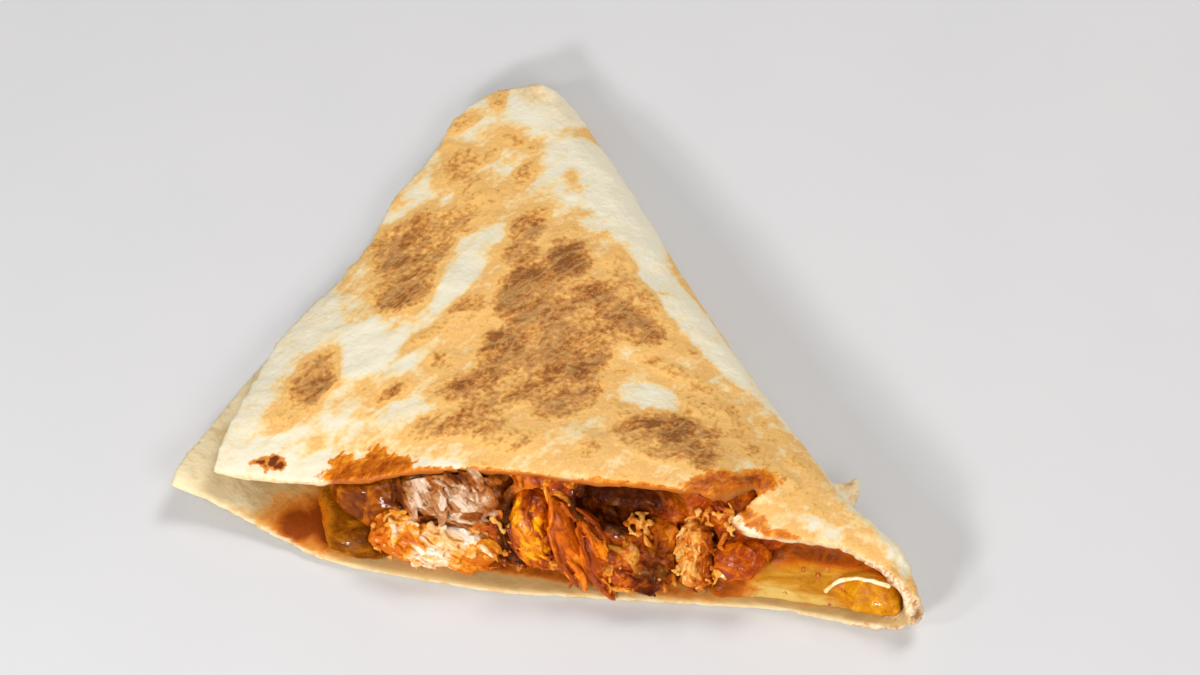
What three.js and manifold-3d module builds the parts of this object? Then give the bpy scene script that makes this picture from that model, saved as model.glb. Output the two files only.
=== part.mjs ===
// A quarter of a folded chicken quesadilla, cut from a 12 inch flour tortilla. Millimetres, +Z up.
// The knife cut faces -Y, the fold runs from the right corner to the far tip, and the tortilla's own
// round edge closes the left side. The flat underside lies on Z = 0.
import * as THREE from "three";
import { mergeVertices } from "three/addons/utils/BufferGeometryUtils.js";
import Module from "manifold-3d";

const wasm = await Module();
wasm.setup();

// ---- Driving dimensions ----
const RADIUS = 150; // of the tortilla, from the middle of its fold
const FOLD_CENTRE = [88, -40]; // the right corner, where the knife crossed the fold
const WEDGE_ANGLE = THREE.MathUtils.degToRad(48); // between the cut and the fold
const TIP_Y = 72; // the far tip, a blunt corner
const DOUGH = 1.8; // thickness of the tortilla
const RIM_SWELL = { by: 1.6, reach: 11 }; // how much thicker it is at the dried right corner
const FOLD_DEPTH = { most: 10, share: 0.42 }; // how far in the fold's roundness reaches
const GAP = 0.3; // between neighbouring pieces
const CUT_Y = FOLD_CENTRE[1];

// Rows run from the cut to the tip, columns from the round edge along the bottom leaf, round the fold
// and back along the top leaf.
const ROW_Y = [
  CUT_Y, -38.4, -35.6, -32, -27.5, -22, -15, -7, 1, 9, 17, 25, 33, 41, 48, 55, 61, 66, 69.5, TIP_Y,
];
const LEAF_COLS = 21;
const FOLD_COLS = 8;
const COLS = 2 * LEAF_COLS + FOLD_COLS;
const EDGE_REACH = 18; // how far in from the cut a displacement of its edge dies out
// Columns stand closer together along the tear: where, as a share of them, at its mouth and at its
// tip, and how much closer.
const CROWDING = { mouth: 0.662, tip: 0.818, by: 0.72, farBy: 0.2 };

// ---- Small helpers ----
const { clamp, lerp } = THREE.MathUtils;
const smooth = (x, from, to) => THREE.MathUtils.smoothstep(x, from, to);
const bell = (distance, reach) => Math.exp(-((distance / reach) ** 2));

// A smooth curve through [position, value] pairs, level beyond both ends.
function profile(pairs) {
  const slope = pairs.map(([x, v], i) => {
    const [x0, v0] = pairs[Math.max(i - 1, 0)];
    const [x1, v1] = pairs[Math.min(i + 1, pairs.length - 1)];
    const turns = (v - v0) * (v1 - v) <= 0;
    return turns ? 0 : (v1 - v0) / (x1 - x0);
  });
  return (x) => {
    if (x <= pairs[0][0]) return pairs[0][1];
    const i = pairs.findIndex(([px]) => px >= x);
    if (i < 0) return pairs.at(-1)[1];
    const [x0, v0] = pairs[i - 1];
    const [x1, v1] = pairs[i];
    const width = x1 - x0;
    const t = (x - x0) / width;
    const rest = 1 - t;
    const ends = v0 * (1 + 2 * t) * rest * rest + v1 * t * t * (3 - 2 * t);
    return ends + width * t * rest * (slope[i - 1] * rest - slope[i] * t);
  };
}

// ---- Outline ----
// The round edge keeps to the tortilla's circle but for these dents and bulges along Y.
const edgePull = profile([
  [-40, -0.5], [-18, 3], [1, 6], [21, 10.5], [40, 4.6], [51, 2], [63, -5], [69, -5.5], [72, -4],
]);
const roundEdge = (y) =>
  FOLD_CENTRE[0] - Math.sqrt(RADIUS ** 2 - (y - CUT_Y) ** 2) + edgePull(y);

// The fold is a straight line that swells a little towards the tip and frays at the right corner.
const foldSwell = profile([
  [-40, 0.5], [-33, 3.8], [-29, 5], [-25, 1.6], [-18, 0.3], [12, 0], [31, 2.7], [54, 6.2], [69, 7.6],
  [72, 6.4],
]);
const foldLine = (y) => FOLD_CENTRE[0] - (y - CUT_Y) / Math.tan(WEDGE_ANGLE) + foldSwell(y);

// The top leaf stops short of the bottom leaf near the left corner.
const topInset = profile([[-40, 8.2], [-25, 6], [-12, 3.4], [2, 0.8], [20, 0]]);

// How far the cut edge of each leaf stands back from the knife's plane (+) or past it (-), along X.
const topCutEdge = profile([
  [-52, 2.8], [-32, 2.6], [-13, 4.8], [12, 5.8], [25, 6.3], [38, 7.7], [46, 9.2], [48.5, 5.8], [60, 5],
  [68, 7.5], [78, 5], [88, 1],
]);
const bottomCutEdge = profile([
  [-64, 0.5], [-48, -1.5], [-38, -4.5], [-28, -7], [2, -7.5], [20, -5.5], [45, -2.5], [64, -0.5],
  [76, -1.8], [88, -0.5],
]);

// ---- Heights ----
const foldHeight = profile([[-40, 13], [-20, 14.5], [12, 15], [40, 12], [60, 9], [72, 7.5]]);
const edgeHeight = profile([[-40, 12], [-25, 9.5], [-8, 7], [5, 5.8], [72, 5.6]]);
const crown = profile([[-40, 11.5], [-10, 9], [15, 6.5], [40, 3], [60, 0.8], [72, 0]]);
// The mouth of the cut: the top leaf arches over the filling, and is lower on the far side of a tear.
const archHeight = profile([
  [-52, 12], [-32, 14], [-22, 17], [-13, 21], [0, 24], [20, 25.2], [42, 24.6], [66, 20],
]);
const cheekHeight = profile([[40, 18], [60, 17], [72, 15], [80, 13.5]]);
// The left corner of the bottom leaf curls up.
const CORNER_LIFT = { at: [-64, -37], height: 8, reach: 36 };
// A notch torn in the top leaf: where it ends, the way it opens, and the half width of the drop across
// it at its mouth and at its tip.
const TEAR = {
  tip: [54.4, -23.4], mouthY: -32, heading: THREE.MathUtils.degToRad(231), halfAngle: 0.16,
  length: 20, drop: [1.7, 5],
};

// The plan direction from the fold into the wedge, square to the fold.
const INWARD = [-Math.sin(WEDGE_ANGLE), -Math.cos(WEDGE_ANGLE)];

function bottomHeight(x, y) {
  const { at, height, reach } = CORNER_LIFT;
  const away = Math.hypot(x - at[0], y - at[1]);
  return height * Math.max(0, 1 - away / reach) ** 1.7;
}

function topHeight(x, y, across) {
  const dome = crown(y) * Math.sin(Math.PI * across) ** 0.8;
  const inside = lerp(edgeHeight(y), foldHeight(y), across) + dome;
  const fromTip = new THREE.Vector2(x - TEAR.tip[0], y - TEAR.tip[1]);
  const { x: out, y: beside } = fromTip.rotateAround(new THREE.Vector2(), -TEAR.heading);
  const beyondTip = -out;
  const spread = lerp(...TEAR.drop, smooth(beyondTip, -7, 0)) + 0.6 * Math.max(0, beyondTip);
  const mouth = lerp(archHeight(x), cheekHeight(x), smooth(beside, -spread, spread));
  return lerp(mouth, inside, smooth(y, -36, -4));
}

// Slow waves that a baked tortilla has, for its top only.
const ripple = (x, y) => 0.35 * Math.sin(0.21 * x + 0.13 * y) + 0.3 * Math.sin(0.11 * x - 0.23 * y + 1);

// ---- The tortilla's outer face as a grid of points ----
// How much of the cut edge's displacement a row takes.
const nearCut = (rowY) => 1 - smooth(rowY, CUT_Y, CUT_Y + EDGE_REACH);

// How far across a leaf a column lies, from the round edge (0) to the start of the fold (1).
function acrossLeaf(column, rowY) {
  const y = rowY + (TEAR.mouthY - CUT_Y) * nearCut(rowY);
  const alongTear = clamp((y - TEAR.mouthY) / (TEAR.tip[1] - TEAR.mouthY), 0, 1);
  const at = lerp(CROWDING.mouth, CROWDING.tip, alongTear);
  const by = lerp(CROWDING.by, CROWDING.farBy, smooth(y, TEAR.tip[1], 10));
  const turn = 2 * Math.PI;
  const t = column / LEAF_COLS;
  return t - (by / turn) * (Math.sin(turn * (t - at)) + Math.sin(turn * at));
}

// A point of the outer face. The cut edges stand back from the knife's plane by their profiles, which
// die out over the first rows.
function outerPoint(rowY, col) {
  const moved = nearCut(rowY);
  const left = roundEdge(rowY);
  const right = foldLine(rowY);
  const foldDepth = Math.min(FOLD_DEPTH.most, FOLD_DEPTH.share * (right - left));
  const foldStart = right - foldDepth;
  if (col <= LEAF_COLS) {
    const x = lerp(left, foldStart, acrossLeaf(col, rowY));
    const y = rowY + bottomCutEdge(x) * moved;
    return new THREE.Vector3(x, y, bottomHeight(x, y));
  }
  if (col < LEAF_COLS + FOLD_COLS) {
    const angle = Math.PI * ((col - LEAF_COLS) / FOLD_COLS - 0.5);
    const side = Math.sin(angle);
    const x = foldStart + foldDepth * Math.cos(angle) ** 0.85;
    const up = 0.5 * (1 + Math.sign(side) * Math.abs(side) ** 0.9);
    const y = rowY + lerp(bottomCutEdge(x), topCutEdge(x), up) * moved;
    const height = lerp(foldHeight(y), topHeight(foldStart, y, 1), smooth(side, 0, 1));
    return new THREE.Vector3(x, y, height * up);
  }
  const across = acrossLeaf(COLS - col, rowY);
  const x = lerp(left + topInset(rowY), foldStart, across);
  const y = rowY + topCutEdge(x) * moved;
  return new THREE.Vector3(x, y, topHeight(x, y, across) + ripple(x, y) * smooth(y, 69, 45));
}

const outerGrid = (rowYs) =>
  rowYs.map((y) => Array.from({ length: COLS + 1 }, (_, col) => outerPoint(y, col)));

// The triangles of a grid, as corner indices into its points row by row.
function gridTriangles(rows, cols) {
  const index = [];
  for (let r = 0; r + 1 < rows; r++)
    for (let c = 0; c + 1 < cols; c++) {
      const a = r * cols + c;
      const b = a + cols;
      index.push(a, b, a + 1, a + 1, b, b + 1);
    }
  return index;
}

function gridNormals(grid) {
  const geometry = new THREE.BufferGeometry().setFromPoints(grid.flat());
  geometry.setIndex(gridTriangles(grid.length, grid[0].length));
  geometry.computeVertexNormals();
  const normal = geometry.attributes.normal;
  return grid.map((points, r) =>
    points.map((_, c) => new THREE.Vector3().fromBufferAttribute(normal, r * points.length + c)),
  );
}

// The grid moved inwards by a distance that may differ from point to point.
function offsetGrid(grid, inward) {
  const normals = gridNormals(grid);
  return grid.map((points, r) =>
    points.map((p, c) => p.clone().addScaledVector(normals[r][c], -inward(p))),
  );
}

// Moves the outermost points of a grid away from their neighbours inside.
function widenGrid(grid, by) {
  const push = (p, inner) => p.addScaledVector(p.clone().sub(inner).normalize(), by);
  const last = grid.length - 1;
  grid[0].forEach((p, c) => push(p, grid[1][c]));
  grid[last].forEach((p, c) => push(p, grid[last - 1][c]));
  grid.forEach((points) => {
    push(points[0], points[1]);
    push(points.at(-1), points.at(-2));
  });
  return grid;
}

// ---- Solids ----
function solidFrom(geometry) {
  geometry.deleteAttribute("normal");
  geometry.deleteAttribute("uv");
  const merged = mergeVertices(geometry, 1e-4);
  const corners = Array.from(merged.index.array);
  const kept = [];
  for (let i = 0; i < corners.length; i += 3) {
    const [a, b, c] = corners.slice(i, i + 3);
    if (a !== b && b !== c && c !== a) kept.push(a, b, c);
  }
  return new wasm.Manifold(
    new wasm.Mesh({
      numProp: 3,
      vertProperties: new Float32Array(merged.attributes.position.array),
      triVerts: new Uint32Array(kept),
    }),
  );
}

// The closed solid between two grids of the same size: face looks out, back looks the other way.
function betweenGrids(face, back) {
  const rows = face.length;
  const cols = face[0].length;
  const count = rows * cols;
  const faceIndex = gridTriangles(rows, cols);
  const index = [...faceIndex];
  for (let i = 0; i < faceIndex.length; i += 3)
    index.push(faceIndex[i] + count, faceIndex[i + 2] + count, faceIndex[i + 1] + count);
  const wall = (a, b) => index.push(a, b, b + count, a, b + count, a + count);
  for (let c = 0; c + 1 < cols; c++) {
    wall(c, c + 1);
    wall((rows - 1) * cols + c + 1, (rows - 1) * cols + c);
  }
  for (let r = 0; r + 1 < rows; r++) {
    wall((r + 1) * cols, r * cols);
    wall(r * cols + cols - 1, (r + 1) * cols + cols - 1);
  }
  const geometry = new THREE.BufferGeometry().setFromPoints([...face.flat(), ...back.flat()]);
  return solidFrom(geometry.setIndex(index));
}

// Upright prism over a plan outline.
function prism(points, from, to) {
  const shape = new THREE.Shape(points.map(([x, y]) => new THREE.Vector2(x, y)));
  const geometry = new THREE.ExtrudeGeometry(shape, { depth: to - from, bevelEnabled: false });
  return solidFrom(geometry.translate(0, 0, from));
}

// The dough is thicker where it dried at the right corner.
const doughAt = (p) =>
  DOUGH + RIM_SWELL.by * bell(Math.hypot(p.x - FOLD_CENTRE[0], p.y - CUT_Y), RIM_SWELL.reach);

function foldedSheet(outset, widen) {
  const outer = outerGrid(ROW_Y);
  const face = offsetGrid(outer, () => -outset);
  const back = offsetGrid(outer, (p) => doughAt(p) + outset);
  if (widen) [face, back].forEach((grid) => widenGrid(grid, widen));
  return betweenGrids(face, back);
}

// The V of the tear, through the top leaf alone.
function tearPrism() {
  const { tip, heading, halfAngle, length } = TEAR;
  const end = (turn) => [
    tip[0] + length * Math.cos(heading + turn),
    tip[1] + length * Math.sin(heading + turn),
  ];
  return prism([tip, end(-halfAngle), end(halfAngle)], 7, 40);
}

// A scrap of dough that stands out behind the fold near the right corner. Its outline is in distances
// out from the fold and along it.
const TAB = {
  y: -16, from: 5.4, to: 7.4,
  outline: [[-1.3, -4.5], [2, -4], [5.4, -1], [6, 1.6], [3.6, 1.2], [-1.3, 4]],
};
function tornTab() {
  const flat = TAB.outline.map(([out, along]) => [
    foldLine(TAB.y) - INWARD[0] * out + INWARD[1] * along,
    TAB.y - INWARD[1] * out - INWARD[0] * along,
  ]);
  return prism(flat, TAB.from, TAB.to);
}

const tortillaSolid = foldedSheet(0, 0).subtract(tearPrism()).add(tornTab());
const tortillaRoom = foldedSheet(GAP, GAP); // what the filling keeps clear of

// ---- Filling ----
const FILL_COL = 2; // the filling stops this many columns short of the round edge
const FILL_ROWS = [1, 16]; // and lies between these rows

// The inside of the fold, and its two halves as grids that start at the middle of the fold.
const room = offsetGrid(outerGrid(ROW_Y), (p) => doughAt(p) + 2 * GAP);
const roof = room.map((points) => points.slice(COLS / 2));
const ground = room.map((points) => points.slice(0, COLS / 2 + 1).reverse());

// All the space inside the fold that holds filling, with every other column of the leaves.
function stuffing() {
  const isKept = (_, i) => i <= FOLD_COLS / 2 || i % 2 === 0;
  const filled = (grid) =>
    grid.slice(...FILL_ROWS).map((points) => points.slice(0, -FILL_COL).filter(isKept));
  return betweenGrids(filled(roof), filled(ground));
}

// All that lies over the roof, so that no lump stands up through the top leaf.
const raised = roof.map((points) => points.map((p) => p.clone().setZ(p.z + 40)));
const sky = betweenGrids(raised, roof);

// The top of the melted cheese: low under the chicken, and up to the roof of the fold at the right.
const cheeseTop = profile([[-34, 7.6], [-20, 7.2], [-8, 5], [38, 5], [50, 9.5], [66, 13], [76, 22]]);
function cheeseLevel(x, y) {
  const fromCut = y - CUT_Y;
  const line = cheeseTop(x + fromCut / Math.tan(WEDGE_ANGLE));
  const inside = 5.2 + 0.5 * Math.sin(0.2 * x) + 0.5 * Math.cos(0.17 * y);
  return lerp(line, inside, smooth(fromCut, 6, 45));
}

// Everything above the cheese level (side 1) or below it (side -1).
function cheeseSide(side) {
  const steps = (from, to, count) =>
    Array.from({ length: count + 1 }, (_, i) => lerp(from, to, i / count));
  const level = steps(-50, 66, 9).map((y) =>
    steps(-70, 100, 14).map((x) => new THREE.Vector3(x, y, cheeseLevel(x, y) + side * GAP * 0.7)),
  );
  const far = level.map((points) => points.map((p) => new THREE.Vector3(p.x, p.y, side * 60)));
  return side > 0 ? betweenGrids(level, far) : betweenGrids(far, level);
}

// A lump of meat or sauce: a ball squared off, drawn out along its own axes and ridged across its
// grain. Its size is half its length each way.
const LUMP = { turn: [0, 0, 0], ridges: 3, relief: 0.08, detail: 2 };
function lump(spec, grow = 0) {
  const { at, size, turn, ridges, relief, detail, seed } = { ...LUMP, ...spec };
  const geometry = new THREE.IcosahedronGeometry(1, detail);
  const position = geometry.attributes.position;
  const v = new THREE.Vector3();
  const square = (t) => Math.sign(t) * Math.abs(t) ** 0.82;
  for (let i = 0; i < position.count; i++) {
    v.fromBufferAttribute(position, i);
    const grain = Math.sin(ridges * 2.1 * v.y + 1.7 * Math.sin(2 * v.x + seed) + seed);
    const swell = Math.sin(2.3 * v.x + seed * 1.3) * Math.sin(2.1 * v.z + seed * 0.7);
    const reach = 1 + relief * grain + 0.09 * swell;
    v.set(square(v.x), square(v.y), square(v.z)).multiplyScalar(reach);
    position.setXYZ(i, v.x * (size[0] + grow), v.y * (size[1] + grow), v.z * (size[2] + grow));
  }
  geometry.applyMatrix4(new THREE.Matrix4().makeRotationFromEuler(new THREE.Euler(...turn)));
  return solidFrom(geometry.translate(...at));
}

// The pieces of chicken that show at the cut.
const CHICKEN = {
  chicken_flaked: {
    at: [-6.5, -31, 16.3], size: [13.5, 9.5, 6.4], turn: [0.25, -0.22, -0.1],
    ridges: 4, detail: 3, seed: 2,
  },
  chicken_chunk: {
    at: [-8, -38, 7], size: [13.5, 9.5, 5.4], turn: [0.1, -0.05, 0.05], detail: 3, seed: 5,
  },
  chicken_nugget: { at: [11.5, -35.5, 12], size: [5.2, 9, 8], turn: [0.3, -0.5, 0], seed: 3 },
  chicken_strip_1: {
    at: [18, -38.5, 10.5], size: [2.4, 5.4, 8.8], turn: [-0.45, -0.42, 0], ridges: 2, seed: 4,
  },
  chicken_strip_2: {
    at: [23, -39.3, 9], size: [2.2, 5, 7.6], turn: [-0.5, -0.5, 0], ridges: 2, seed: 7,
  },
  chicken_shred: {
    at: [42.4, -36.5, 9.8], size: [4.4, 6.4, 8], turn: [-0.35, -0.12, 0.1],
    ridges: 5, relief: 0.12, seed: 6,
  },
};
// Sauce that has run out to the cut between them, and the hollow where it has shrunk back.
const SAUCE_LUMPS = [
  { at: [31, -38.5, 7], size: [8.5, 6.5, 5], seed: 8 },
  { at: [51, -35.5, 9], size: [6.2, 6, 5.4], seed: 9 },
  { at: [-25.5, -33.5, 12], size: [6.5, 5, 3.2], turn: [0.2, -0.3, 0], seed: 10 },
];
const HOLLOW = { at: [30, -36, 18.5], size: [12, 8, 6], seed: 3 };

const space = stuffing();
const inflated = Object.values(CHICKEN).map((spec) => lump(spec, GAP));
const chickenSolids = Object.entries(CHICKEN).map(([name, spec], i) => {
  const clear = inflated.slice(0, i).reduce((solid, other) => solid.subtract(other), lump(spec));
  return [name, clear.subtract(tortillaRoom).subtract(sky)];
});
const withoutChicken = (solid) => inflated.reduce((left, piece) => left.subtract(piece), solid);

const sauceLumps = SAUCE_LUMPS.map((spec) => lump(spec));
const cheeseSolid = withoutChicken(space.intersect(cheeseSide(-1)));
const sauceBed = space.subtract(lump(HOLLOW));
const sauceSolid = withoutChicken(
  sauceLumps.reduce((all, one) => all.add(one.subtract(sky)), sauceBed).subtract(tortillaRoom),
).intersect(cheeseSide(1));

// ---- Meshes ----
// The largest body of a solid: a cut can leave a loose crumb beside it.
function largest(solid) {
  return solid.decompose().reduce((best, body) => (body.volume() > best.volume() ? body : best));
}

function meshOf(name, solid, colour, roughness) {
  const { vertProperties, triVerts } = largest(solid).getMesh();
  const geometry = new THREE.BufferGeometry();
  geometry.setAttribute("position", new THREE.BufferAttribute(vertProperties, 3));
  geometry.setIndex(new THREE.BufferAttribute(triVerts, 1));
  geometry.computeVertexNormals();
  const finish = new THREE.MeshStandardMaterial({ color: colour, roughness, metalness: 0 });
  const mesh = new THREE.Mesh(geometry, finish);
  mesh.name = name;
  return mesh;
}

const quesadilla = new THREE.Group();
quesadilla.add(meshOf("tortilla", tortillaSolid, 0xe4c795, 0.75));
quesadilla.add(meshOf("cheese", cheeseSolid, 0xe8bf62, 0.35));
quesadilla.add(meshOf("sauce", sauceSolid, 0xb4501c, 0.25));
chickenSolids.forEach(([name, solid]) => quesadilla.add(meshOf(name, solid, 0xdd9a4c, 0.5)));

export default quesadilla;
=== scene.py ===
# %% [markdown]
# # A wedge of a folded chicken quesadilla
#
# A flour tortilla is filled on one half with chicken, red sauce and cheese, folded over, toasted in a dry
# pan and cut into wedges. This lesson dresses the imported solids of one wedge: the tortilla that wraps it,
# and the filling that shows where the knife went through.
#
# Every solid is already in its place, in metres, so each finished piece is modelled where it lies.

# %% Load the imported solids
import math
import random

import bmesh
import bpy
import numpy as np
from mathutils import Matrix, Quaternion, Vector
from mathutils.bvhtree import BVHTree


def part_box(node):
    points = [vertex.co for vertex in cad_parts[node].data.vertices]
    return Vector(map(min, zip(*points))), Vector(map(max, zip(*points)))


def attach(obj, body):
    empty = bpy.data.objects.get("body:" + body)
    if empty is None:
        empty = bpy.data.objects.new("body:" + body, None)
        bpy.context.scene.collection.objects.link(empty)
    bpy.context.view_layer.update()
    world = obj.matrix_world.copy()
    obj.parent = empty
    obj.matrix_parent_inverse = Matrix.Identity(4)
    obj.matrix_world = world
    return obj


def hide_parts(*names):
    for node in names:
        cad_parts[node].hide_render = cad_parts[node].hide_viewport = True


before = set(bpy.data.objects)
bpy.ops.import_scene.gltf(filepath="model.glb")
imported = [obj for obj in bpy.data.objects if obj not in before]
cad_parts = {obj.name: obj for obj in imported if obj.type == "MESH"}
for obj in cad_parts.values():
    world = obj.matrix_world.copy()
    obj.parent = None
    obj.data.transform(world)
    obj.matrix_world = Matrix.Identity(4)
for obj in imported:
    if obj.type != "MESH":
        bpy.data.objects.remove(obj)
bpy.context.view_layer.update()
MM = 0.001
for name in sorted(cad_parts):
    low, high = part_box(name)
    print(f"{name:16s}", [round(side / MM, 1) for side in high - low], "mm")

# %% [markdown]
# ## The camera and the light
#
# A quesadilla is looked at from above, across the table, with its open cut towards the viewer. A long lens
# from about a metre and a quarter away keeps the wedge's outline true. Two broad soft lights and a pale
# room do the work of a window. Two small lamps, low in front, put a sparkle on the wet sauce. Distances in
# this lesson are in millimetres unless they say otherwise, and MM turns them into Blender's metres.

# %% Camera
AIM = Vector((13.5, 13.5, 5)) * MM
CAMERA_AT = Vector((153, -694.3, 1034.3)) * MM
LENS = 188  # on Blender's usual sensor, 36 mm wide

bpy.ops.object.camera_add(location=CAMERA_AT)
camera = bpy.context.object
camera.name = "camera"
camera.rotation_euler = (AIM - CAMERA_AT).to_track_quat("-Z", "Y").to_euler()
camera.data.lens = LENS
bpy.context.scene.camera = camera
print("camera", round((CAMERA_AT - AIM).length, 3), "m from the wedge")


# %% Lights and the room
def softbox(name, place, size, power, colour=(1, 1, 1)):
    """A rectangular light that faces the wedge. Its place and size are in metres, its power in watts."""
    bpy.ops.object.light_add(type="AREA", location=place)
    light = bpy.context.object
    light.name = name
    light.rotation_euler = (AIM - Vector(place)).to_track_quat("-Z", "Y").to_euler()
    light.data.shape = "RECTANGLE"
    light.data.size, light.data.size_y = size
    light.data.energy = power
    light.data.color = colour
    return light


softbox("window", (0.28, 0.42, 1), (0.45, 0.45), 5.5, (1, 0.98, 0.95))
softbox("fill", (0.5, -0.7, 0.7), (0.5, 0.4), 3.2, (1, 0.97, 0.93))
softbox("sparkle", (-0.16, -0.6, 0.3), (0.16, 0.07), 2.8)
softbox("sparkle_left", (-0.5, -0.5, 0.5), (0.1, 0.1), 1.3)

ROOM_COLOUR = (1, 0.98, 0.95, 1)
ROOM_BRIGHTNESS = 0.27

world = bpy.data.worlds.new("pale_room")
world.use_nodes = True
background = world.node_tree.nodes["Background"]
background.inputs["Color"].default_value = ROOM_COLOUR
background.inputs["Strength"].default_value = ROOM_BRIGHTNESS
bpy.context.scene.world = world
bpy.context.scene.view_settings.view_transform = "Standard"

# %% [markdown]
# ## Helpers for modelling
#
# Operators act on whatever is selected, and the imported solids come in selected. So each step first
# selects one piece alone. Modifiers are applied at once, so that the next step works on the real mesh.


# %% Select, copy and modify
def alone(piece):
    """Selects one object and nothing else."""
    bpy.ops.object.select_all(action="DESELECT")
    piece.select_set(True)
    bpy.context.view_layer.objects.active = piece
    return piece


def twin(piece, name):
    """A second object with the same mesh as a copy of its own."""
    made = bpy.data.objects.new(name, piece.data.copy())
    bpy.context.scene.collection.objects.link(made)
    return made


SAME_CORNER = 0.01  # corners nearer than this are one
FLAT_ENOUGH = math.radians(50)  # two triangles that bend less than this become one quad


def copied(node, name):
    """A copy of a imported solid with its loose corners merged."""
    piece = twin(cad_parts[node], name)
    piece.data.materials.clear()
    alone(piece)
    bpy.ops.object.mode_set(mode="EDIT")
    bpy.ops.mesh.select_all(action="SELECT")
    bpy.ops.mesh.customdata_custom_splitnormals_clear()
    bpy.ops.mesh.remove_doubles(threshold=SAME_CORNER * MM)
    bpy.ops.mesh.tris_convert_to_quads(face_threshold=FLAT_ENOUGH, shape_threshold=FLAT_ENOUGH)
    bpy.ops.object.mode_set(mode="OBJECT")
    return piece


def modify(piece, kind, **settings):
    """Adds a modifier and applies it."""
    alone(piece)
    modifier = piece.modifiers.new(kind.title(), kind)
    for name, value in settings.items():
        setattr(modifier, name, value)
    bpy.ops.object.modifier_apply(modifier=modifier.name)
    return piece


def smoothed(piece, rounds, group=""):
    """Moves each vertex half way to the middle of its neighbours, so many times."""
    return modify(piece, "SMOOTH", factor=0.5, iterations=rounds, vertex_group=group)


def remeshed(piece, voxel, rounds):
    """Even quads all over, voxel mm wide, with the steps of the voxels smoothed out."""
    modify(piece, "REMESH", mode="VOXEL", voxel_size=voxel * MM)
    return smoothed(piece, rounds)


def places(piece):
    """The piece's vertices and their normals as arrays, the places in millimetres."""
    count = len(piece.data.vertices)
    at, normal = np.empty(count * 3, np.float32), np.empty(count * 3, np.float32)
    piece.data.vertices.foreach_get("co", at)
    piece.data.vertices.foreach_get("normal", normal)
    return at.reshape(-1, 3) / MM, normal.reshape(-1, 3)


def store(piece, name, values):
    """Keeps a number for each vertex, for the material to read."""
    attribute = piece.data.attributes.new(name, "FLOAT", "POINT")
    attribute.data.foreach_set("value", np.asarray(values, np.float32))


# %% Relief by procedural textures
X_AXIS = Vector((1, 0, 0))
SEED_STEP = Vector((17, 29, 41))  # from one seed's clouds to the next one's


def weigh(piece, name, values):
    """Paints a vertex group with one weight for each vertex."""
    group = piece.vertex_groups.new(name=name)
    for i, value in enumerate(values):
        group.add([i], float(value), "REPLACE")
    return name


def three(cell):
    """The sizes of a cloud along its grain and across it both ways. One number means a round cloud."""
    return cell if isinstance(cell, tuple) else (cell, cell, cell)


def relief(piece, depth, cell, seed, grain=X_AXIS, group="", middle=0.5):
    """Displaces the surface by depth mm with clouds of a size in mm. Longer along the grain, they make
    wrinkles or fibres. Each seed gives other clouds, and a middle below 0.5 lifts more than it sinks."""
    pattern = bpy.data.textures.new(f"{piece.name}_clouds", "CLOUDS")
    pattern.noise_scale = 1
    bpy.ops.object.empty_add(location=SEED_STEP * seed * MM)
    guide = bpy.context.object
    guide.rotation_euler = X_AXIS.rotation_difference(Vector(grain)).to_euler()
    guide.scale = Vector(three(cell)) * MM
    bpy.context.view_layer.update()
    modify(
        piece, "DISPLACE", texture=pattern, texture_coords="OBJECT", texture_coords_object=guide,
        strength=depth * MM, mid_level=middle, vertex_group=group,
    )
    bpy.data.objects.remove(guide)
    return piece


def hollowness(piece, rounds=14):
    """Stores how deep each place lies in a crack, in mm: its distance under a smoothed copy's surface. More
    rounds of smoothing find wider cracks."""
    level = smoothed(twin(piece, "level"), rounds)
    at, normal = places(piece)
    depth = ((places(level)[0] - at) * normal).sum(1)
    bpy.data.objects.remove(level)
    store(piece, "crevice", depth)
    return depth


def finished(piece, slot, *nodes):
    """Smooths the shading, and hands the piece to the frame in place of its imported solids."""
    alone(piece)
    bpy.ops.object.shade_smooth()
    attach(piece, "root")
    if nodes:
        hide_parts(*nodes)
    at, _ = places(piece)
    size = [round(float(side), 1) for side in np.ptp(at, axis=0)]
    print(f"{piece.name}: {len(piece.data.polygons)} faces, {size} mm")
    return piece


# %% [markdown]
# ## The tortilla
#
# A wheat tortilla is a soft sheet of dough about two millimetres thick. In the pan it puffs into low
# blisters that touch the iron and brown, while the hollows between them stay pale. Its cut rim shows the
# dough's thickness, and its own round edge is rolled soft.
#
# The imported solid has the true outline, so the piece is a copy of it. Subdivision rounds its facets, and a
# crease on its sharp edges keeps the rim from shrinking. A voxel remesh then gives even quads of less than a
# millimetre, and the blisters are pushed out of those.

# %% Tortilla: an even, rounded copy
SHARP = math.radians(55)  # an edge that bends more than this is part of the rim

tortilla = copied("tortilla", "tortilla_baked")
bpy.ops.object.mode_set(mode="EDIT")
bpy.ops.mesh.select_all(action="DESELECT")
bpy.ops.mesh.edges_select_sharp(sharpness=SHARP)
bpy.ops.transform.edge_crease(value=0.5)
bpy.ops.object.mode_set(mode="OBJECT")
modify(tortilla, "SUBSURF", levels=2, render_levels=2)
remeshed(tortilla, voxel=0.7, rounds=3)
print("tortilla:", len(tortilla.data.polygons), "even faces")

# %% [markdown]
# ### Where the tortilla browned
#
# Browning isn't random: a patch lies wherever the dough pressed on the pan. So each patch is written down as
# an ellipse in plan: its middle in x and y, its half length and half width in millimetres, the turn of its
# length in degrees, and how strongly it took. Overlapping ellipses make the larger, uneven patches.
#
# The same six numbers also say where the dough is warm because the pan nearly touched it, where it stayed
# pale in a hollow, where the brown is deepest, and where it is scorched. An image could hold all that too,
# but numbers on the mesh need no unwrapping, and relief and colour can both follow them.

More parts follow.
